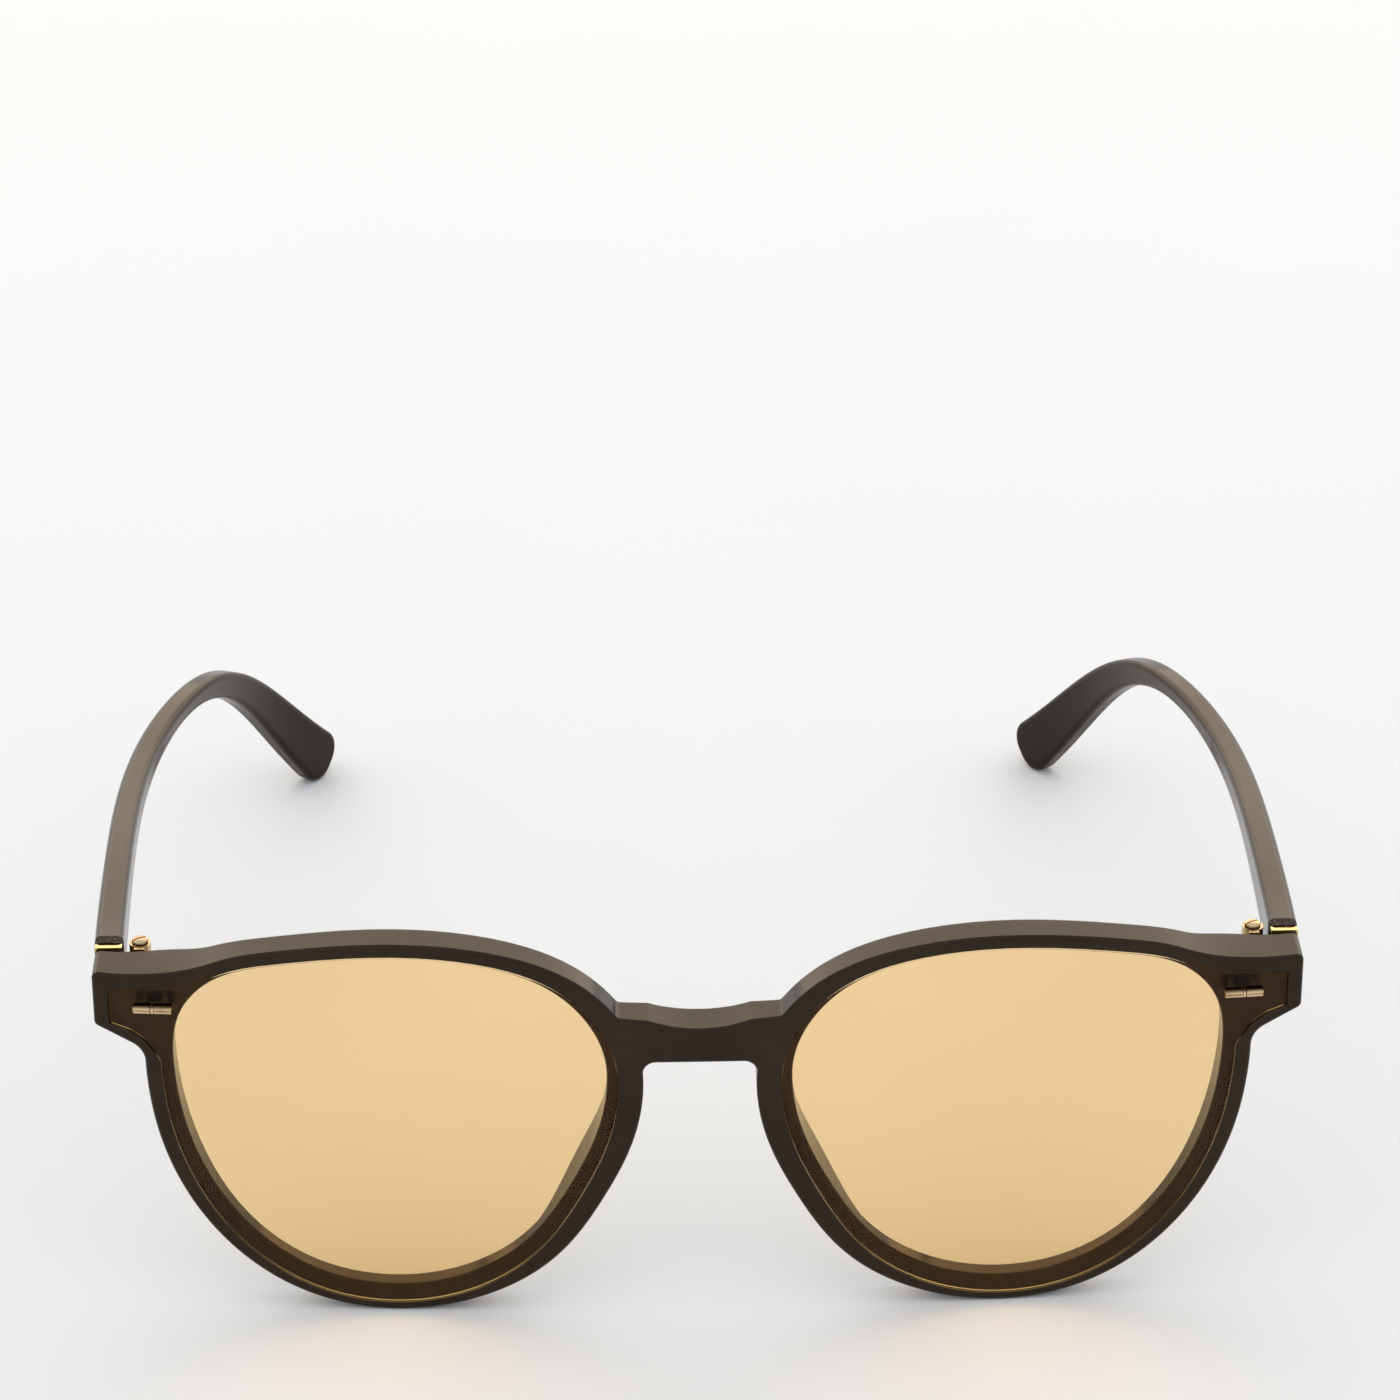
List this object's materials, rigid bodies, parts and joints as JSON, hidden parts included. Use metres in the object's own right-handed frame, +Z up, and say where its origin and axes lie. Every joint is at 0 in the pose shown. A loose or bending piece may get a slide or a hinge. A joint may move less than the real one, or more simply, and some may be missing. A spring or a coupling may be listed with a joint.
{
  "type": "sunglasses",
  "caption": "Full-rim sunglasses with flat tinted lenses lapped over the front, bar rivets at the endpieces and folding temples with curved-down tips.",
  "frame": {"origin": "centre of the footprint of the open sunglasses, on the table that they stand on", "axes": "+Z up, +X to the right of someone who faces the front, +Y from the front towards the temple tips"},
  "size_m": [0.1486, 0.1434, 0.0516],
  "materials": {
    "frame_plastic": "very dark brown, polished",
    "temple_plastic": "dark brown, satin towards the tips",
    "tinted_lens": "clear amber-yellow tint, hard coated",
    "gold_metal": "bright pale gold plating",
    "pale_metal": "champagne silver, polished",
    "core_wire": "plain nickel silver wire"
  },
  "bodies": {
    "front": {"front_frame": "frame_plastic", "lens_left": "tinted_lens", "lens_right": "tinted_lens", "trim_left": "pale_metal", "trim_right": "pale_metal", "hinge_front_left": "pale_metal", "hinge_front_right": "pale_metal", "hinge_screw_left": "pale_metal", "hinge_screw_right": "pale_metal"},
    "temple_arm_left": {"temple_left": "temple_plastic", "temple_core_left": "core_wire", "hinge_temple_left": "gold_metal"},
    "temple_arm_right": {"temple_right": "temple_plastic", "temple_core_right": "core_wire", "hinge_temple_right": "gold_metal"}
  },
  "joints": [
    {"name": "right_temple_fold", "type": "hinge", "parent": "front", "child": "temple_arm_right", "pos_m": [0.0672, -0.06096, 0.04427], "axis": [0, 0, 1], "range_deg": [0, 84]},
    {"name": "left_temple_fold", "type": "hinge", "parent": "front", "child": "temple_arm_left", "pos_m": [-0.0672, -0.06096, 0.04427], "axis": [0, 0, -1], "range_deg": [0, 78]}
  ]
}
